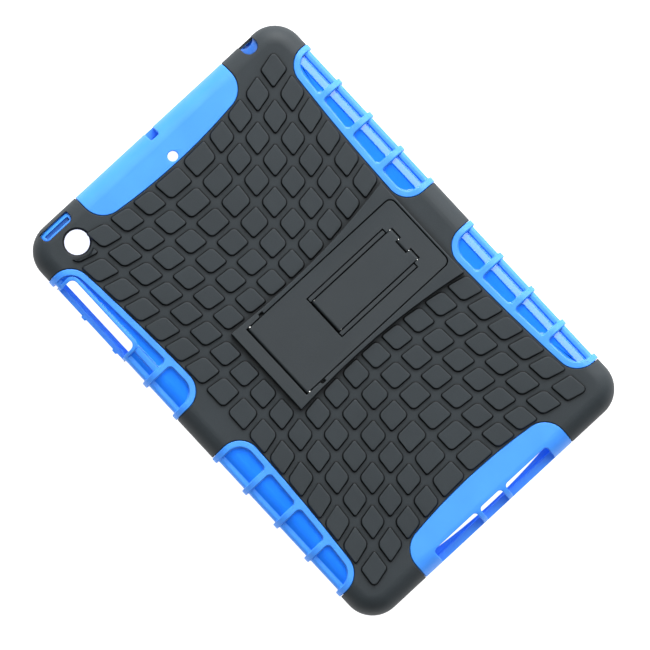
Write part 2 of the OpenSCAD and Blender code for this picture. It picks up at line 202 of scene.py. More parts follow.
def bumper_outline(grow=0.0, steps=16):
    """The upper bumper: round inner corners, and an inner edge that sags a little at mid-width."""
    side_y = BUMPER_Y + BUMPER_SAG + BUMPER_R
    flat = BUMPER_HALF_W - BUMPER_R
    xs = [flat * (1 - 2 * i / steps) for i in range(1, steps)]
    return ([(BUMPER_HALF_W + grow, FAR)] + arc(flat, side_y, BUMPER_R + grow, 0, -90)
            + [(x, BUMPER_Y - grow + BUMPER_SAG * (x / flat) ** 2) for x in xs]
            + arc(-flat, side_y, BUMPER_R + grow, 270, 180) + [(-BUMPER_HALF_W - grow, FAR)])


def plate_edge(x):
    """Half the raised plate's width at x, which flares towards both ends."""
    return PLATE_HALF_Y + (FLARE_RIGHT if x > 0 else FLARE_LEFT) * (x / PLATE_X[1]) ** 2


def plate_outline(steps=28):
    xs = [PLATE_X[0] + (PLATE_X[1] - PLATE_X[0]) * i / steps for i in range(steps + 1)]
    return [(x, -plate_edge(x)) for x in xs] + [(x, plate_edge(x)) for x in reversed(xs)]


def power_outline(inset=0.0):
    """The power key's slot: square at its outer corners, round at its inner ones."""
    (x0, x1), (y0, y1) = ((low + inset, high - inset) for low, high in (POWER_X, POWER_Y))
    r, small = POWER_INNER_R - inset, POWER_OUTER_R
    return (arc(x1 - r, y0 + r, r, -90, 0, 6) + arc(x1 - small, y1 - small, small, 0, 90, 4)
            + arc(x0 + small, y1 - small, small, 90, 180, 4) + arc(x0 + r, y0 + r, r, 180, 270, 6))


def mouth_outline(steps=24):
    """The front opening's edge: its lip is wider at the low end and bows outward at mid-width there."""
    half_w, top, r = BAY_HALF_W - LIP_REACH, BAY_HALF_L - LIP_REACH, BAY_R - LIP_REACH
    low = -(BAY_HALF_L - LOW_LIP_REACH)
    xs = [LOW_LIP_SPAN * (2 * i / steps - 1) for i in range(steps + 1)]
    return ([(x, low - LOW_LIP_BOW * (1 - (x / LOW_LIP_SPAN) ** 2)) for x in xs]
            + arc(half_w - r, low + r, r, -90, 0) + arc(half_w - r, top - r, r, 0, 90)
            + arc(-(half_w - r), top - r, r, 90, 180) + arc(-(half_w - r), low + r, r, 180, 270))


def leg_outline(x0, grow=0.0):
    x1, half, r = LEG_TIP_X + grow, LEG_W / 2 + grow, LEG_CORNER_R + grow
    round_end = arc(x1 - r, -(half - r), r, -90, 0) + arc(x1 - r, half - r, r, 0, 90)
    return [(x0, -half)] + round_end + [(x0, half)]


def flip(outline, sx, sy):
    """The outline mirrored, still anticlockwise if it was."""
    points = [(sx * x, sy * y) for x, y in outline]
    return points if sx * sy > 0 else points[::-1]


def column_x(j, y):
    """x of the grid line to the left of column j, in the right-hand half of the back."""
    if j == COLUMNS:
        return window_edge(y) - STUD_MARGIN + STUD_GAP / 2
    return COLUMN_PITCH * j + COLUMN_SHIFT + BOW_X * (y / BOW_X_AT) ** 2 if j > 0 else 0.0


def row_y(n, x):
    """y of the grid line under row n, in the upper half of the back."""
    above = max(0, n - PLATE_ROWS)
    rise = (BOW_Y + BOW_Y_GROWTH * above) * (x / BOW_Y_AT) ** 2
    return (FIRST_ROW_Y + rise) * min(1, n / PLATE_ROWS) + above * PITCH


def grid_point(j, n):
    x = column_x(j, row_y(n, COLUMN_PITCH * j))
    return Vector((x, row_y(n, x)))


def soft_corner(p, a, b, r, steps=6, pull=0.55):
    """A corner rounded between its neighbours a and b, close to a circle's arc."""
    pa, pb = p + (a - p).normalized() * r, p + (b - p).normalized() * r
    ca, cb = pa.lerp(p, pull), pb.lerp(p, pull)
    parts = [i / steps for i in range(steps + 1)]
    return [pa * (1 - t) ** 3 + ca * 3 * t * (1 - t) ** 2 + cb * 3 * t * t * (1 - t) + pb * t ** 3
            for t in parts]


def stud_outline(j, n, inset=0.0, at_corner=True):
    """A stud between its grid lines; the one at the back's corner has a form of its own."""
    g = STUD_GAP / 2 + inset
    a, b = grid_point(j, n) + Vector((g, g)), grid_point(j + 1, n) + Vector((-g, g))
    c, d = grid_point(j + 1, n + 1) + Vector((-g, -g)), grid_point(j, n + 1) + Vector((g, -g))
    sharp = max(STUD_SHARP_R_MIN, STUD_SHARP_R - 0.5 * inset)
    soft = max(STUD_ROUND_R_MIN, STUD_ROUND_R - inset)
    radii = (sharp, soft, sharp, soft)
    if at_corner and (j, n) == (COLUMNS - 1, ROWS - 1):
        a, b, c, d = (p + Vector((0, lift)) for p, lift in zip((a, b, c, d), CORNER_STUD_LIFT))
        radii = (sharp, sharp, max(STUD_ROUND_R_MIN, CORNER_STUD_R - inset), sharp)
    return (soft_corner(a, d, b, radii[0]) + soft_corner(b, a, c, radii[1])
            + soft_corner(c, b, d, radii[2]) + soft_corner(d, c, a, radii[3]))


def stud_cells():
    """(column, row, x sign, y sign) of every stud."""
    signs = (1, -1)
    cells = [(j, n, sx, sy) for sx in signs for sy in signs
             for n in range(PLATE_ROWS, ROWS) for j in range(COLUMNS)]
    return cells + [(j, n, -1, sy) for sy in signs
                    for n in range(PLATE_ROWS) for j in range(PLATE_LEFT_COLUMN, COLUMNS)]


# ---------------------------------------------------------------- meshes
SHARP_ANGLE, FLAT_ANGLE, SHADING_ANGLE = 32, 0.8, 50  # degrees
MERGE_DIST = 2e-6  # metres


def mesh_object(name, verts, faces):
    """An object in the scene, from verts in millimetres."""
    mesh = bpy.data.meshes.new(name)
    mesh.from_pydata([[c * MM for c in v] for v in verts], [], faces)
    mesh.update()
    obj = bpy.data.objects.new(name, mesh)
    bpy.context.scene.collection.objects.link(obj)
    return obj


def loft(rings):
    """Verts and faces of a closed solid through rings of equal length, capped at both ends."""
    count = len(rings[0])
    verts = [v for ring in rings for v in ring]
    faces = [tuple(reversed(range(count)))]
    for k in range(len(rings) - 1):
        a, b = k * count, (k + 1) * count
        faces += [(a + i, a + (i + 1) % count, b + (i + 1) % count, b + i) for i in range(count)]
    faces.append(tuple(range((len(rings) - 1) * count, len(rings) * count)))
    return verts, faces


def merge(parts):
    """One vertex and face list from several."""
    verts, faces = [], []
    for part_verts, part_faces in parts:
        base = len(verts)
        verts += part_verts
        faces += [tuple(base + i for i in face) for face in part_faces]
    return verts, faces


def prism(outline, z0, z1):
    """The outline drawn out from z0 to z1."""
    edges = zip(outline, outline[1:] + outline[:1])
    turn = sum(x0 * y1 - x1 * y0 for (x0, y0), (x1, y1) in edges)
    outline = outline if turn > 0 else outline[::-1]
    return loft([[(x, y, z0) for x, y in outline], [(x, y, z1) for x, y in outline]])


def slab(half_w, half_l, r, z0, z1, foot_r, top_r):
    """A box with round corners in plan, a small round foot and a rounded shoulder."""
    section = [(foot_r - x, z0 + foot_r + z) for x, z in arc(0, 0, foot_r, -90, 0, 4)]
    section += [(top_r - x, z1 - top_r + z) for x, z in arc(0, 0, top_r, 0, 90, 16)]
    return loft([[(x, y, z) for x, y in
                  rounded_rect(-half_w + i, half_w - i, -half_l + i, half_l - i, r - i, 16)]
                 for i, z in section])


def outer_slab(z0, drop=0.0):
    """The case's outer form from z0 up, drawn in by drop everywhere else."""
    return slab(HALF_W - drop, HALF_L - drop, CORNER_R - drop, z0, BACK_Z - drop, FOOT_R,
                SHOULDER_R - drop)


def post(x, y, d, z0, z1, steps=48):
    """A round bar along Z."""
    return prism(arc(x, y, d / 2, 0, 360, steps)[:-1], z0, z1)


def along_y(section, y0, y1):
    """A solid with a section given as (x, z) points, drawn out along Y."""
    return loft([[(x, y1, z) for x, z in section], [(x, y0, z) for x, z in section]])


def rod(x, z, d, y0, y1, steps=32):
    """A round bar along Y."""
    return along_y(arc(x, z, d / 2, 0, 360, steps)[:-1], y0, y1)


def block(x, y, z):
    return prism([(x[0], y[0]), (x[1], y[0]), (x[1], y[1]), (x[0], y[1])], *z)


def mirrored_blocks(x, y, z):
    """A block on each side of the case's middle, with y given for the upper side."""
    return [block(x, sorted((sy * y[0], sy * y[1])), z) for sy in (1, -1)]


def link(x0, x1, width, round_x1):
    """A flat link along X, half round at x0, and at x1 where asked."""
    r = LEG_T / 2
    left = arc(x0, AXIS_Z, r, 90, 270, 12)
    right = arc(x1, AXIS_Z, r, -90, 90, 12) if round_x1 else [(x1, AXIS_Z - r), (x1, AXIS_Z + r)]
    return along_y(left + right, -width / 2, width / 2)


def combine(obj, operation, parts):
    """Adds, cuts or keeps the overlap of obj and a set of closed solids."""
    tool = mesh_object("tool", *merge(parts))
    modifier = obj.modifiers.new("combine", "BOOLEAN")
    modifier.operation, modifier.solver, modifier.object = operation, "EXACT", tool
    graph = bpy.context.evaluated_depsgraph_get()
    result = bpy.data.meshes.new_from_object(obj.evaluated_get(graph))
    obj.modifiers.clear()
    old, obj.data = obj.data, result
    bpy.data.meshes.remove(old)
    bpy.data.objects.remove(tool)


def soften(obj, width, segments=3, cuts=()):
    """Cleans the mesh and rounds every edge sharper than SHARP_ANGLE, within the mesh's own box.

    cuts are (axis, place) planes that divide long strips, so that their shading stays even.
    """
    mesh = bmesh.new()
    mesh.from_mesh(obj.data)
    corners = [Vector(corner) for corner in obj.bound_box]
    low, high = corners[0], corners[6]
    bmesh.ops.remove_doubles(mesh, verts=mesh.verts, dist=MERGE_DIST)
    bmesh.ops.dissolve_limit(mesh, angle_limit=math.radians(FLAT_ANGLE), verts=mesh.verts,
                             edges=mesh.edges)
    sharp = [e for e in mesh.edges
             if len(e.link_faces) == 2 and e.calc_face_angle() > math.radians(SHARP_ANGLE)]
    bmesh.ops.bevel(mesh, geom=sharp, offset=width * MM, segments=segments, profile=0.5,
                    affect="EDGES", clamp_overlap=False)
    for vert in mesh.verts:
        vert.co = [min(max(c, low[i]), high[i]) for i, c in enumerate(vert.co)]
    bmesh.ops.remove_doubles(mesh, verts=mesh.verts, dist=MERGE_DIST)
    for axis, place in cuts:
        normal = Vector([float(i == axis) for i in range(3)])
        bmesh.ops.bisect_plane(mesh, geom=mesh.verts[:] + mesh.edges[:] + mesh.faces[:],
                               dist=MERGE_DIST, plane_co=normal * place * MM, plane_no=normal)
    bmesh.ops.triangulate(mesh, faces=[f for f in mesh.faces if len(f.verts) > 4])
    mesh.to_mesh(obj.data)
    mesh.free()
    obj.data.name = obj.name


def finish_piece(obj, body, slot, *materials, replaces=()):
    """Gives a piece its materials, shading and body, and hides the CAD nodes that it replaces."""
    for material in materials:
        obj.data.materials.append(material)
    obj.data.shade_smooth()
    obj.data.set_sharp_from_angle(angle=math.radians(SHADING_ANGLE))
    normals = obj.modifiers.new("normals", "WEIGHTED_NORMAL")
    normals.keep_sharp = True
    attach(obj, body)
    if replaces:
        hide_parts(*replaces)


# ---------------------------------------------------------------- materials
def new_material(name, base, roughness):
    """A material, with its node tree's nodes and links and its shader."""
    material = bpy.data.materials.new(name)
    material.use_nodes = True
    nodes, links = material.node_tree.nodes, material.node_tree.links
    shader = nodes["Principled BSDF"]
    shader.inputs["Base Color"].default_value = (*base, 1)
    shader.inputs["Roughness"].default_value = roughness
    return material, nodes, links, shader


def noise(nodes, links, scale, detail, stretch=None):
    """A noise factor laid out in the object's own space, stretched where asked."""
    place = nodes.new("ShaderNodeTexCoord")
    source = place.outputs["Object"]
    if stretch:
        mapping = nodes.new("ShaderNodeMapping")
        mapping.inputs["Scale"].default_value = stretch
        links.new(source, mapping.inputs["Vector"])
        source = mapping.outputs["Vector"]
    texture = nodes.new("ShaderNodeTexNoise")
    texture.inputs["Scale"].default_value = scale
    texture.inputs["Detail"].default_value = detail
    links.new(source, texture.inputs["Vector"])
    return texture.outputs["Fac"]


def remap(nodes, links, source, low, high, to_low, to_high):
    """The source's range from low to high, spread over to_low to to_high and held there."""
    node = nodes.new("ShaderNodeMapRange")
    for key, value in (("From Min", low), ("From Max", high), ("To Min", to_low), ("To Max", to_high)):
        node.inputs[key].default_value = value
    links.new(source, node.inputs["Value"])
    return node.outputs["Result"]


def mix_colour(nodes, links, factor, a, b):
    """Colour a where the factor is 0 and b where it is 1."""
    node = nodes.new("ShaderNodeMix")
    node.data_type = "RGBA"
    for socket, value in (("Factor", factor), ("A", a), ("B", b)):
        target = [s for s in node.inputs if s.name == socket and s.enabled][0]
        if isinstance(value, bpy.types.NodeSocket):
            links.new(value, target)
        elif socket == "Factor":
            target.default_value = value
        else:
            target.default_value = (*value, 1)
    return [s for s in node.outputs if s.enabled][0]


def add_bump(nodes, links, shader, height, depth, strength):
    bump = nodes.new("ShaderNodeBump")
    bump.inputs["Strength"].default_value = strength
    bump.inputs["Distance"].default_value = depth
    links.new(height, bump.inputs["Height"])
    links.new(bump.outputs["Normal"], shader.inputs["Normal"])


def product(nodes, links, a, b):
    node = nodes.new("ShaderNodeMath")
    node.operation = "MULTIPLY"
    links.new(a, node.inputs[0])
    links.new(b, node.inputs[1])
    return node.outputs[0]


def grained_plastic(name, top, edge_highlight):
    """Dark hard plastic with a fine moulded grain.

    It has painted shade and a painted highlight: near black on the studs' sides, darker in narrow gaps,
    and paler on sharp edges.
    """
    # Painted shade: the studs' sides, between foot and brow, are coloured near black as if in shadow.
    side = (0.003, 0.004, 0.005)
    foot_z, brow_z = (BACK_Z + 0.02, BACK_Z + 0.14), (BACK_Z + 0.6, BACK_Z + 0.82)
    gap_reach = 0.0035
    material, nodes, links, shader = new_material(name, top, 0.6)
    shader.inputs["Specular IOR Level"].default_value = 0.3
    grain = noise(nodes, links, 3200, 3)
    patches = noise(nodes, links, 45, 3)
    place = nodes.new("ShaderNodeTexCoord")
    split = nodes.new("ShaderNodeSeparateXYZ")
    links.new(place.outputs["Object"], split.inputs["Vector"])
    foot = remap(nodes, links, split.outputs["Z"], foot_z[0] * MM, foot_z[1] * MM, 0, 1)
    brow = remap(nodes, links, split.outputs["Z"], brow_z[0] * MM, brow_z[1] * MM, 1, 0)
    colour = mix_colour(nodes, links, product(nodes, links, foot, brow), top, side)
    tone = remap(nodes, links, patches, 0.3, 0.7, 0.94, 1.06)
    speck = remap(nodes, links, grain, 0.35, 0.65, 0.9, 1.1)
    shade = nodes.new("ShaderNodeVectorMath")
    shade.operation = "SCALE"
    links.new(colour, shade.inputs[0])
    # Painted shade: the colour is darkened where ambient occlusion finds narrow gaps and hollows.
    hollow = nodes.new("ShaderNodeAmbientOcclusion")
    hollow.inputs["Distance"].default_value = gap_reach
    hollow.samples = 8
    gap_shade = remap(nodes, links, hollow.outputs["AO"], 0.6, 0.96, 0.3, 1.0)
    scaled = product(nodes, links, product(nodes, links, tone, speck), gap_shade)
    links.new(scaled, shade.inputs["Scale"])
    # Painted highlight: sharp edges, found by pointiness, are mixed towards a paler colour.
    edges = nodes.new("ShaderNodeNewGeometry")
    edge = remap(nodes, links, edges.outputs["Pointiness"], 0.52, 0.62, 0, 0.45)
    links.new(mix_colour(nodes, links, edge, shade.outputs[0], edge_highlight), shader.inputs["Base Color"])
    links.new(remap(nodes, links, patches, 0.3, 0.7, 0.52, 0.64), shader.inputs["Roughness"])
    add_bump(nodes, links, shader, grain, 0.00005, 0.7)
    return material


def soft_rubber(name, base, roughness_low, roughness_high, grain_depth):
    """Bright soft plastic: light passes a little way into it, so its shaded parts stay blue."""
    material, nodes, links, shader = new_material(name, base, roughness_high)
    cloud = noise(nodes, links, 70, 3)
    grain = noise(nodes, links, 1700, 2)
    darker, lighter = tuple(c * 0.95 for c in base), tuple(min(1, c * 1.05) for c in base)
    deep = mix_colour(nodes, links, remap(nodes, links, cloud, 0.3, 0.7, 0, 1), darker, lighter)
    links.new(deep, shader.inputs["Base Color"])
    gloss = remap(nodes, links, cloud, 0.3, 0.7, roughness_low, roughness_high)
    links.new(gloss, shader.inputs["Roughness"])
    shader.inputs["Subsurface Weight"].default_value = 0.15
    shader.inputs["Subsurface Radius"].default_value = (0.3, 0.8, 1.0)
    shader.inputs["Subsurface Scale"].default_value = 0.0006
    add_bump(nodes, links, shader, grain, grain_depth, 0.5)
    return material


def drawn_steel():
    """Bright steel wire with fine draw marks along the pin."""
    material, nodes, links, shader = new_material("pin_steel", (0.72, 0.72, 0.70), 0.25)
    marks = noise(nodes, links, 900, 4, stretch=(6, 0.2, 6))
    shader.inputs["Metallic"].default_value = 1.0
    links.new(remap(nodes, links, marks, 0.3, 0.7, 0.18, 0.38), shader.inputs["Roughness"])
    tint = mix_colour(nodes, links, marks, (0.62, 0.62, 0.60), (0.82, 0.82, 0.80))
    links.new(tint, shader.inputs["Base Color"])
    add_bump(nodes, links, shader, marks, 0.00002, 0.5)
    return material


# The last colour of each plastic is its painted edge highlight.
hard_plastic = grained_plastic("hard_plastic", (0.024, 0.031, 0.036), (0.034, 0.040, 0.044))
# Painted shade: a near-black copy of the hard plastic for the camera hole's sloping rim, standing in for
# its shadow.
rim_shade_plastic = grained_plastic("hard_plastic_rim_shade", (0.003, 0.004, 0.005), (0.01, 0.012, 0.013))
satin_blue = soft_rubber("soft_blue_satin", (0.040, 0.260, 0.86), 0.40, 0.52, 0.00003)
polished_blue = soft_rubber("soft_blue_polished", (0.013, 0.195, 0.92), 0.10, 0.14, 0.000001)
# Painted shade: a darker copy of the blue rubber for the inside of the headphone slot and the power key's
# groove.
shaded_blue = soft_rubber("soft_blue_shaded", (0.006, 0.10, 0.42), 0.35, 0.45, 0.00002)
polished_blue.node_tree.nodes["Principled BSDF"].inputs["Specular IOR Level"].default_value = 0.9
steel = drawn_steel()

# ---------------------------------------------------------------- hard shell
QUADRANTS = [(sx, sy) for sx in (1, -1) for sy in (1, -1)]


def strut_well(z0, z1, grow):
    """The well under the strut, grown sideways by grow."""
    half = STRUT_W / 2 + RAIL_GAP + grow
    return block((LEG_WINDOW_X[0] - grow, LEG_WINDOW_X[1] + grow), (-half, half), (z0, z1))


def build_shell():
    rail_y = STRUT_W / 2 + RAIL_GAP
    shell = mesh_object("hard_shell_body", *outer_slab(SHELL_RIM_Z))
    combine(shell, "UNION", [prism(plate_outline(), BACK_Z - SUNK, PLATE_Z)])
    inside = slab(HALF_W - SHELL_WALL, HALF_L - SHELL_WALL, CORNER_R - SHELL_WALL, BELOW - 1,
                  BACK_Z - SHELL_BACK_T, FOOT_R, SHOULDER_R - SHELL_WALL)
    combine(shell, "DIFFERENCE", [inside])
    well_floor = strut_well(WELL_FLOOR_Z - WELL_FLOOR_T, WELL_FLOOR_Z + WELL_FLOOR_EXTRA, WELL_RIM)
    combine(shell, "UNION", [well_floor])
    zones = [prism(flip(window_outline(*WINDOW_Y), sx, sy), BELOW, FAR) for sx, sy in QUADRANTS]
    zones += [prism(flip(bumper_outline(), 1, sy), BELOW, FAR) for sy in (1, -1)]
    combine(shell, "DIFFERENCE", zones)
    combine(shell, "DIFFERENCE", [post(*CAMERA_XY, CAMERA_D, THROUGH_Z, FAR)])
    rim_z = (BACK_Z - CAMERA_RIM_H, BACK_Z, FAR)
    rim_d = (CAMERA_D - CAMERA_RIM_TAPER, CAMERA_RIM_D, CAMERA_RIM_D)
    combine(shell, "DIFFERENCE", [loft([[(x, y, z) for x, y in arc(*CAMERA_XY, d / 2, 0, 360, 64)[:-1]]
                                        for z, d in zip(rim_z, rim_d)])])
    combine(shell, "DIFFERENCE", [
        prism(power_outline(), POWER_Z, FAR),
        prism(rounded_rect(*JACK_X, JACK_Y, FAR, JACK_R), JACK_SILL_Z, FAR),
        prism(leg_outline(LEG_X - LEG_T / 2 - LEG_GAP, LEG_GAP), RECESS_Z, FAR),
    ])
    notch_y = (LEG_W / 2, LEG_W / 2 + LEG_GAP + NOTCH_D)
    combine(shell, "DIFFERENCE", mirrored_blocks(NOTCH_X, notch_y, (RECESS_Z, FAR)))
    # The rails start inside the well, and the last cut then trims them and the floor block
    rail_x = (LEG_WINDOW_X[0] + RAIL_GAP, LEG_WINDOW_X[1] - RAIL_GAP)
    rails_y = (rail_y - 1, rail_y + RAIL_W)
    combine(shell, "UNION", mirrored_blocks(rail_x, rails_y, (RECESS_Z - SUNK, PLATE_Z - RAIL_DROP)))
    combine(shell, "DIFFERENCE", [strut_well(WELL_FLOOR_Z, FAR, 0)])
    soften(shell, SHELL_EDGE_R)
    finish_piece(shell, "case", "shell", hard_plastic, rim_shade_plastic, replaces=("hard_shell",))
    centre = Vector(CAMERA_XY)
    for face in shell.data.polygons:
        x, y, z = (c / MM for c in face.center)
        # The camera hole's rim gets the near-black copy: painted shade.
        in_reach = (Vector((x, y)) - centre).length < CAMERA_RIM_D / 2 + 0.1
        on_shaded_rim = in_reach and z < BACK_Z - 0.03
        face.material_index = 1 if on_shaded_rim else 0


# Inset and height of each ring up a stud's side, drawn for a stud of STUD_RINGS_H: a sloping side,
# a round edge and an almost flat top
STUD_RINGS = ((-0.42, -0.3), (-0.42, 0.0), (-0.34, 0.08), (0.02, 0.62), (0.08, 0.73), (0.2, 0.8),
              (0.4, 0.82), (1.8, 0.84))
STUD_RINGS_H = 0.8
CRESCENT_TOP_INSET = 0.4


def cut_stud_outline(j, n, inset, steps=14, fineness=40):
    """The stud beside the camera hole: what is left of it below the hole, outside a circle about it."""
    centre, radius = Vector(CAMERA_XY), CAMERA_CLEAR_D / 2 + inset
    loop = [Vector(p) for p in flip(stud_outline(j, n, inset, False), -1, 1)]
    fine = [a.lerp(b, i / fineness) for a, b in zip(loop, loop[1:] + loop[:1])
            for i in range(fineness)]
    outside = [(p - centre).length > radius and p.y < centre.y - CRESCENT_DROP - inset for p in fine]
    start = next(i for i in range(len(fine)) if outside[i] and not outside[i - 1])
    order = [(start + i) % len(fine) for i in range(len(fine))]
    kept = [fine[i] for i in order if outside[i]]
    edge = [kept[round(i * (len(kept) - 1) / (3 * steps))] for i in range(3 * steps + 1)]
    turn = [math.degrees(math.atan2(*(p - centre).yx)) % 360 for p in (edge[-1], edge[0])]
    return [tuple(p) for p in edge] + arc(*centre, radius, *turn, steps)[1:-1]


def build_studs():
    parts = []
    for j, n, sx, sy in stud_cells():
        beside_camera = (j, n, sx, sy) == (COLUMNS - 1, ROWS - 1, -1, 1)
        rings = []
        for inset, z in STUD_RINGS:
            if beside_camera:
                outline = cut_stud_outline(j, n, min(inset, CRESCENT_TOP_INSET))
            else:
                outline = flip(stud_outline(j, n, inset), sx, sy)
            rings.append([(x, y, BACK_Z + z * STUD_H / STUD_RINGS_H) for x, y in outline])
        parts.append(loft(rings))
    finish_piece(mesh_object("hard_shell_studs", *merge(parts)), "case", "shell", hard_plastic)


# ---------------------------------------------------------------- soft sleeve
def pocket_outlines(y_edges, inset):
    """The pockets between the ribs of one window, from the case's middle outward."""
    outlines = []
    for k, (y0, y1) in enumerate(y_edges):
        r0 = WINDOW_R - RIM_T if k == 0 else POCKET_R
        r1 = WINDOW_FAR_R - RIM_T if k == len(y_edges) - 1 else POCKET_R
        outlines.append(window_outline(y0 + inset, y1 - inset, 0, r0, r1, RIM_T + inset))
    return outlines


def between_ribs(ribs):
    """(y0, y1) of each pocket between the window's rim and its ribs."""
    edges = [WINDOW_Y[0] + RIM_T] + [y + side * RIB_T / 2 for y in ribs for side in (-1, 1)]
    edges.append(WINDOW_Y[1] - RIM_T)
    return list(zip(edges[0::2], edges[1::2]))


def all_pockets(inset=0.0):
    """Every pocket's outline; the window with the volume opening has only its first rib."""
    plain = pocket_outlines(between_ribs(RIB_YS), inset)
    volume = pocket_outlines(between_ribs(RIB_YS[:1]), inset)
    pockets = [flip(p, sx, sy) for sx, sy in QUADRANTS if (sx, sy) != (-1, 1) for p in plain]
    return pockets + [flip(p, -1, 1) for p in volume]


def floor_outline(pocket):
    """The flat part of a right-hand pocket's floor: cut off along a line, with round corners there."""
    points = [Vector(p) for p in pocket]
    kept = []
    for p, q in zip(points, points[1:] + points[:1]):
        if p.x <= FLOOR_X:
            kept.append((p, False))
        if (p.x <= FLOOR_X) != (q.x <= FLOOR_X):
            kept.append((p.lerp(q, (FLOOR_X - p.x) / (q.x - p.x)), True))
    outline = []
    for i, (p, cut) in enumerate(kept):
        a, b = kept[i - 1][0], kept[(i + 1) % len(kept)][0]
        r = min(FLOOR_R, 0.9 * (a - p).length, 0.9 * (b - p).length)
        outline += soft_corner(p, a, b, r) if cut else [p]
    return [tuple(p) for p in outline]


def inside_outline(x, y, outline):
    """Whether the point lies in the outline: a ray from it crosses the edge an odd number of times."""
    hit = False
    for (x0, y0), (x1, y1) in zip(outline, outline[1:] + outline[:1]):
        if (y0 > y) != (y1 > y) and x < (x1 - x0) * (y - y0) / (y1 - y0) + x0:
            hit = not hit
    return hit


SATIN, POLISHED, SHADED = range(3)


def paint_sleeve(sleeve):
    """Polished pockets and creases, a darker blue painted inside the slots as shade, and satin everywhere
    else.
    """
    near, hair = 0.1, 0.02  # how far past a line its own faces still count
    pockets = all_pockets(POCKET_PAINT_IN)
    frame_y = (VOLUME_Y[0] - VOLUME_FRAME - near, VOLUME_Y[1] + VOLUME_FRAME + near)
    (groove_x0, groove_x1), (groove_y0, groove_y1) = POWER_GROOVE_X, POWER_GROOVE_Y
    for face in sleeve.data.polygons:
        x, y, z = (c / MM for c in face.center)
        above_bead = z > SIDE_BEAD_Z + hair and WINDOW_X < abs(x) and x < CREASE_X[0] - hair
        in_crease = (CREASE_X[0] - hair <= x < CREASE_X[1] + hair
                     and CREASE_Z - near < z < SIDE_BEAD_Z + hair)
        on_frame = x < VOLUME_X + VOLUME_FRAME + near and frame_y[0] < y < frame_y[1]
        on_ledge = LEDGE_X[0] < x < LEDGE_X[1] and RIB_YS[0] < y < frame_y[0]
        in_jack = z < BACK_Z - 0.3 and y > JACK_Y - 0.2 and JACK_X[0] < x < JACK_X[1]
        in_groove = (groove_x0 - near < x < groove_x1 + near
                     and groove_y0 - near < y < groove_y1 + near and z > BAY_TOP_Z - 1)
        # Painted shade inside the headphone slot and the power key's groove.
        if in_jack or in_groove:
            face.material_index = SHADED
        elif in_crease or (above_bead and not on_frame and not on_ledge
                           and any(inside_outline(x, y, p) for p in pockets)):
            face.material_index = POLISHED
        else:
            face.material_index = SATIN


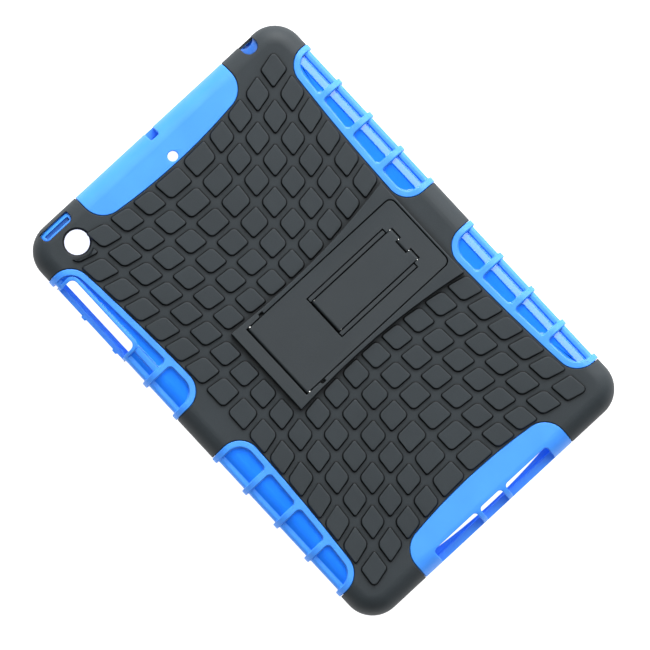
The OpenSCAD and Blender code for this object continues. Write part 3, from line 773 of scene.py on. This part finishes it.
def build_sleeve():
    pockets = all_pockets()
    core_top = BACK_Z - SHELL_BACK_T - FIT_GAP
    half_w, half_l, r = HALF_W - CORE_DROP, HALF_L - CORE_DROP, CORNER_R - CORE_DROP
    shoulder = SHOULDER_R - SHELL_WALL

    # The window inserts and the bumpers, with the pockets cut out, round the core and its two beads
    sleeve = mesh_object("rubber_sleeve_body", *slab(
        HALF_W + RIB_PROUD, HALF_L - SLEEVE_FLUSH, CORNER_R, 0, BACK_Z - SLEEVE_FLUSH, FOOT_R,
        SHOULDER_R))
    zones = [prism(flip(window_outline(*WINDOW_Y, -ZONE_GAP), sx, sy), BELOW, FAR)
             for sx, sy in QUADRANTS]
    zones += [prism(flip(bumper_outline(-ZONE_GAP), 1, sy), BELOW, FAR) for sy in (1, -1)]
    combine(sleeve, "INTERSECT", zones)
    combine(sleeve, "DIFFERENCE", [prism(p, BELOW - 1, FAR) for p in pockets])
    core = slab(half_w - POCKET_WALL_IN, half_l, r - POCKET_WALL_IN, CORE_FOOT_Z, core_top, FOOT_R,
                shoulder - POCKET_WALL_IN)
    combine(sleeve, "UNION", [core])
    combine(sleeve, "UNION", [slab(half_w, half_l, r, 0, LIP_BEAD_Z, FOOT_R, LIP_BEAD_R)])
    floors = [floor_outline(p) for p in all_pockets(FLOOR_IN) if p[0][0] > 0]
    combine(sleeve, "DIFFERENCE", [prism(floor, core_top - FLOOR_DROP, FAR) for floor in floors])
    wide = SIDE_BEAD_OUT
    side_bead = mesh_object("side_bead", *slab(
        half_w + wide, half_l + wide, r + wide, 0, SIDE_BEAD_Z, FOOT_R, SIDE_BEAD_R))
    combine(side_bead, "INTERSECT", zones[:len(QUADRANTS)])

    # The power key's pad, the volume opening's frame, the ledge and the headphone slot's pad
    key = mesh_object("key", *outer_slab(0, POWER_DROP))
    combine(key, "INTERSECT", [prism(power_outline(FIT_GAP), BAY_TOP_Z - 2, FAR)])
    frame_ring = mesh_object("volume_frame", *outer_slab(0, VOLUME_FRAME_DROP))
    frame_outline = rounded_rect(-FAR, VOLUME_X + VOLUME_FRAME, VOLUME_Y[0] - VOLUME_FRAME,
                                 VOLUME_Y[1] + VOLUME_FRAME, VOLUME_FRAME_R)
    combine(frame_ring, "INTERSECT", [prism(frame_outline, BELOW, FAR)])
    ledge = mesh_object("ledge", *outer_slab(0, LEDGE_DROP))
    ledge_y = (RIB_YS[0] + RIB_T / 2 - LEDGE_SUNK, VOLUME_Y[0] - VOLUME_FRAME + LEDGE_SUNK)
    combine(ledge, "INTERSECT", [block(LEDGE_X, ledge_y, (BAY_TOP_Z - 1, FAR))])
    jack_pad = mesh_object("jack_pad", *outer_slab(0, CORE_DROP - JACK_PAD_H))
    combine(jack_pad, "INTERSECT", [prism(rounded_rect(*JACK_X, JACK_Y, FAR, JACK_R), JACK_SILL_Z, FAR)])
    for extra in (side_bead, key, frame_ring, ledge, jack_pad):
        solid = [([tuple(c / MM for c in v.co) for v in extra.data.vertices],
                  [tuple(p.vertices) for p in extra.data.polygons])]
        combine(sleeve, "UNION", solid)
        bpy.data.objects.remove(extra)
    creases = [block(CREASE_X, sorted((sy * (y0 + 0.1), sy * (y1 - 0.1))), (CREASE_Z, FAR))
               for sy in (1, -1) for y0, y1 in between_ribs(RIB_YS)]
    combine(sleeve, "DIFFERENCE", creases)
    nub_x = (NUB_OUTER - HALF_W - RIB_PROUD, NUB_INNER - HALF_W)
    combine(sleeve, "UNION", [block(nub_x, (y - NUB_HALF_W, y + NUB_HALF_W), (NUB_Z, SILL_Z))
                              for y in NUB_YS])

    # The bay, the front opening and every hole
    bay = slab(BAY_HALF_W, BAY_HALF_L, BAY_R, LIP_T, BAY_TOP_Z, FOOT_R, BAY_EDGE_R)
    combine(sleeve, "DIFFERENCE", [bay])
    combine(sleeve, "DIFFERENCE", [prism(mouth_outline(), BELOW - 2, LIP_T + 2)])
    holes = [
        post(*CAMERA_XY, CAMERA_D + CAMERA_HOLE_PLAY, THROUGH_Z, FAR),
        post(*MIC_XY, MIC_D, THROUGH_Z, FAR),
        strut_well(WELL_FLOOR_Z - WELL_FLOOR_T - FIT_GAP, FAR, WELL_RIM + FIT_GAP),
        prism(rounded_rect(*MIC_NOTCH_X, MIC_NOTCH_Y, FAR, MIC_NOTCH_R), MIC_SILL_Z, FAR),
        prism(rounded_rect(-FAR, VOLUME_X, *VOLUME_Y, VOLUME_R), SILL_Z, FAR),
        prism(rounded_rect(*POWER_GROOVE_X, *POWER_GROOVE_Y, POWER_GROOVE_R), POWER_GROOVE_Z, FAR),
        rod(sum(JACK_X) / 2, JACK_HOLE_Z, JACK_HOLE_D, BAY_HALF_L - BAY_EDGE_R, FAR),
    ]
    holes += [prism(rounded_rect(x0, x1, -FAR, PORT_Y, PORT_R), SILL_Z, FAR) for x0, x1 in PORT_XS]
    combine(sleeve, "DIFFERENCE", holes)
    near_ends = (END_STRIP, -END_STRIP)
    rib_ends = [y + step for ends in between_ribs(RIB_YS) for y, step in zip(ends, near_ends)]
    port_ends = [x + step for ends in PORT_XS for x, step in zip(ends, near_ends)]
    soften(sleeve, SLEEVE_EDGE_R,
           cuts=[(1, sy * y) for sy in (1, -1) for y in rib_ends] + [(0, x) for x in port_ends])
    finish_piece(sleeve, "case", "sleeve", satin_blue, polished_blue, shaded_blue,
                 replaces=("rubber_sleeve",))
    paint_sleeve(sleeve)


# ---------------------------------------------------------------- kickstand
def build_leg():
    pocket_x1 = STRUT_X + LEG_T / 2 + KNUCKLE_CLEAR
    pocket_y = STRUT_W / 2 + KNUCKLE_GAP
    leg = mesh_object("kickstand_leg_body", *link(LEG_X, LEG_TIP_X, LEG_W, False))
    combine(leg, "INTERSECT", [prism(leg_outline(LEG_X - LEG_T), LEG_Z - 2, LEG_Z + LEG_T + 2)])
    combine(leg, "DIFFERENCE", [block(LEG_WINDOW_X, (-LEG_WINDOW_W / 2, LEG_WINDOW_W / 2), (0, FAR))])
    combine(leg, "DIFFERENCE", [block((LEG_WINDOW_X[0] + 1, pocket_x1), (-pocket_y, pocket_y), (0, FAR))])
    combine(leg, "UNION", [link(STRUT_X, pocket_x1 + 1, KNUCKLE_W, False)])
    bores = [rod(LEG_X, AXIS_Z, PIN_D + BORE_PLAY, *sorted((sy * LEG_BORE_Y, sy * FAR))) for sy in (1, -1)]
    combine(leg, "DIFFERENCE", bores)
    soften(leg, STAND_EDGE_R)
    finish_piece(leg, "leg", "stand", hard_plastic, replaces=("kickstand_leg",))


def build_strut():
    notch = KNUCKLE_W / 2 + KNUCKLE_GAP
    strut = mesh_object("brace_strut_body", *link(STRUT_FOOT_X, STRUT_X, STRUT_W, True))
    notch_x = (STRUT_X - LEG_T / 2 - KNUCKLE_CLEAR, FAR)
    combine(strut, "DIFFERENCE", [block(notch_x, (-notch, notch), (0, FAR))])
    combine(strut, "DIFFERENCE", [rod(STRUT_X, AXIS_Z, PIN_D + BORE_PLAY, -FAR, FAR)])
    soften(strut, STAND_EDGE_R)
    finish_piece(strut, "strut", "stand", hard_plastic, replaces=("brace_strut",))


def build_pin(name, node, body):
    """A steel pin with the size and place of its CAD node."""
    low, high = (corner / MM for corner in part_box(node))
    x, z, d = (low.x + high.x) / 2, (low.z + high.z) / 2, high.z - low.z
    pin = mesh_object(name, *rod(x, z, d, low.y, high.y))
    soften(pin, PIN_EDGE_R, 2)
    finish_piece(pin, body, "pin", steel, replaces=(node,))


build_shell()
build_studs()
build_sleeve()
build_leg()
build_strut()
build_pin("leg_pin_upper_wire", "leg_pin_upper", "case")
build_pin("leg_pin_lower_wire", "leg_pin_lower", "case")
build_pin("strut_hinge_pin_wire", "strut_hinge_pin", "leg")
build_pin("strut_foot_pin_wire", "strut_foot_pin", "strut")


# ---------------------------------------------------------------- stage, lights and camera
def build_stage():
    """A white floor that glows, just under the case, and an even white world."""
    size, z = 20000, -0.05
    floor = mesh_object("floor", [(-size, -size, z), (size, -size, z), (size, size, z),
                                  (-size, size, z)], [(0, 1, 2, 3)])
    material, *_, shader = new_material("pale_floor", (0.35, 0.35, 0.35), 0.9)
    shader.inputs["Emission Color"].default_value = (1, 1, 1, 1)
    shader.inputs["Emission Strength"].default_value = 1.0
    floor.data.materials.append(material)
    world = bpy.data.worlds.new("studio")
    bpy.context.scene.world = world
    world.use_nodes = True
    world.node_tree.nodes["Background"].inputs["Color"].default_value = (1, 1, 1, 1)
    world.node_tree.nodes["Background"].inputs["Strength"].default_value = 0.6
    world.cycles_visibility.glossy = False


def soft_light(name, place, width, height, power, target=(0, 0, 0)):
    """A rectangular light turned to its target and hidden from the camera."""
    data = bpy.data.lights.new(name, "AREA")
    data.shape, data.size, data.size_y, data.energy = "RECTANGLE", width, height, power
    light = bpy.data.objects.new(name, data)
    light.location = place
    light.rotation_euler = (Vector(place) - Vector(target)).to_track_quat("Z", "Y").to_euler()
    light.visible_camera = False
    bpy.context.scene.collection.objects.link(light)


def build_camera():
    """Straight above, a few degrees off, with the case turned on the diagonal of the frame."""
    frame_width, distance = 0.260, 2.6
    lean_x, lean_y = math.radians(2.6), math.radians(1.8)
    screen_up = Vector((0.6796, 0.7336, 0)).normalized()
    lean = Vector((-math.tan(lean_x), -math.tan(lean_y), 1)).normalized()
    centre = (cad_low + cad_high) / 2
    screen_right = Vector((screen_up.y, -screen_up.x, 0))
    target = centre + screen_right * 0.0013 - screen_up * 0.0019 + Vector((-0.00077, 0.00027, 0))
    data = bpy.data.cameras.new("camera")
    data.sensor_width = 36
    data.lens = data.sensor_width * distance / frame_width
    data.clip_start, data.clip_end = 0.1, 20
    camera = bpy.data.objects.new("camera", data)
    bpy.context.scene.collection.objects.link(camera)
    right = screen_up.cross(lean).normalized()
    up = lean.cross(right)
    turn = Matrix((right, up, lean)).transposed().to_4x4()
    camera.matrix_world = Matrix.Translation(target + lean * distance) @ turn
    bpy.context.scene.camera = camera


def build_lights():
    """A tall softbox upright at the case's right, and a small key light beyond its upper right."""
    turn, reach, height = math.radians(30), 1.2, 2.2
    width, length, brightness = 2.4, 4.2, 3.9
    softbox_at = [reach * math.cos(turn), reach * math.sin(turn), height]
    power = brightness * math.pi * width * length
    soft_light("softbox", softbox_at, width, length, power, (0, 0, height))
    soft_light("key", (1.3, 1.3, 1.1), 0.35, 0.35, 20)


build_stage()
build_lights()
build_camera()
bpy.context.scene.view_settings.view_transform = "Standard"
